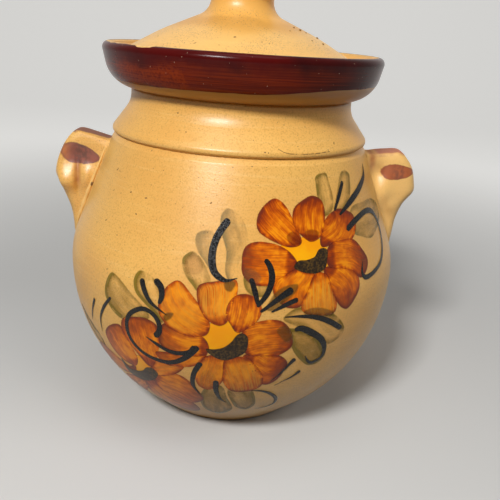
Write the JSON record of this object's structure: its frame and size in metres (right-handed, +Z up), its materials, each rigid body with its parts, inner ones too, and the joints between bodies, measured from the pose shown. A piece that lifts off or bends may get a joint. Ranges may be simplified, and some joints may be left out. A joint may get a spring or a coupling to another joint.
{
  "type": "lidded earthenware jar",
  "caption": "Round-bellied glazed earthenware jar with lug handles, a flared collar and a loose saucer lid with a knob, for storing or serving food.",
  "frame": {"origin": "middle of the foot, on the surface that the jar stands on", "axes": "+Z up along the jar's axis, +X towards the right handle, -Y towards the painted front"},
  "size_m": [0.1987, 0.1806, 0.247],
  "materials": {
    "ochre_glaze": "satin ochre glaze over earthenware, brush-painted",
    "lid_glaze": "satin ochre glaze with a red-brown painted rim"
  },
  "bodies": {
    "jar": {"jar_body": "ochre_glaze", "neck_collar": "ochre_glaze", "left_handle": "ochre_glaze", "right_handle": "ochre_glaze"},
    "lid": {"lid_saucer": "lid_glaze", "lid_ring": "lid_glaze", "lid_knob": "lid_glaze"}
  },
  "joints": [
    {"name": "lid_lift", "type": "slide", "parent": "jar", "child": "lid", "axis": [0, 0, 1], "range_m": [0, 0.12]}
  ]
}
